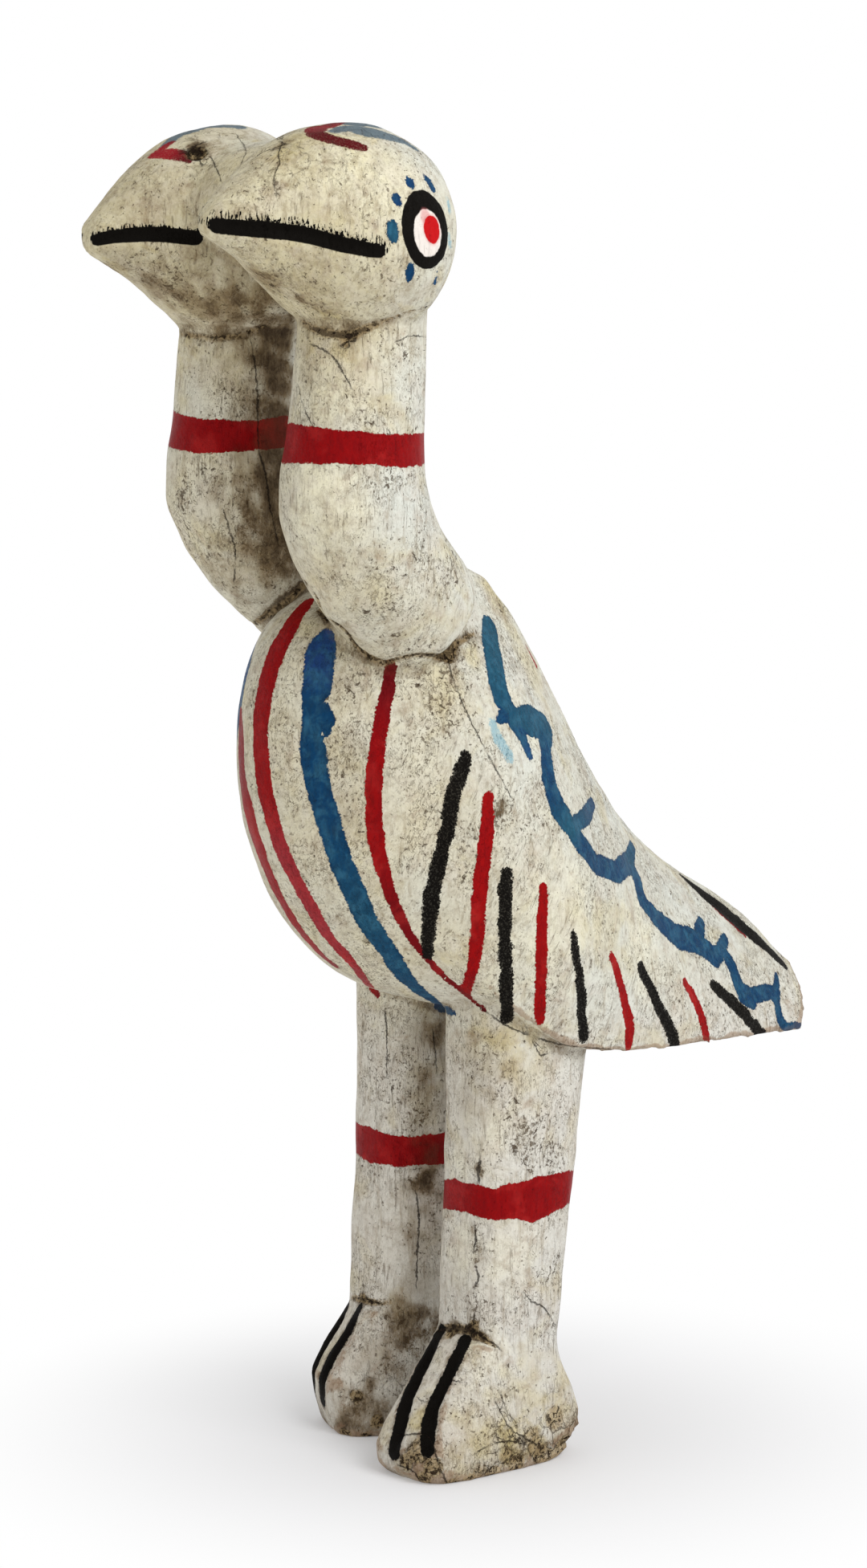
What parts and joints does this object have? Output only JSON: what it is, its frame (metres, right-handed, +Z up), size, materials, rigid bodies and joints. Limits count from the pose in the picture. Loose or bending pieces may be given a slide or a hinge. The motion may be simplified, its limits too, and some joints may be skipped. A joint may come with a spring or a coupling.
{
  "type": "two-headed bird sculpture",
  "caption": "Double-headed standing bird figure carved in one piece from wood, painted cream with red, blue and black stripes, on stout legs with block feet.",
  "frame": {"origin": "middle of the bounding box's underside, on the surface that the soles of the feet stand on", "axes": "+Z up, the beaks point to -Y and the tail to +Y, +X to the bird's own left"},
  "size_m": [0.19, 0.3556, 0.5997],
  "materials": {
    "painted_wood": "worn semi-matte cream paint with red, blue and black brush strokes, cracked and dirty in the hollows"
  },
  "bodies": {
    "root": {"carved_bird": "painted_wood"}
  },
  "joints": []
}
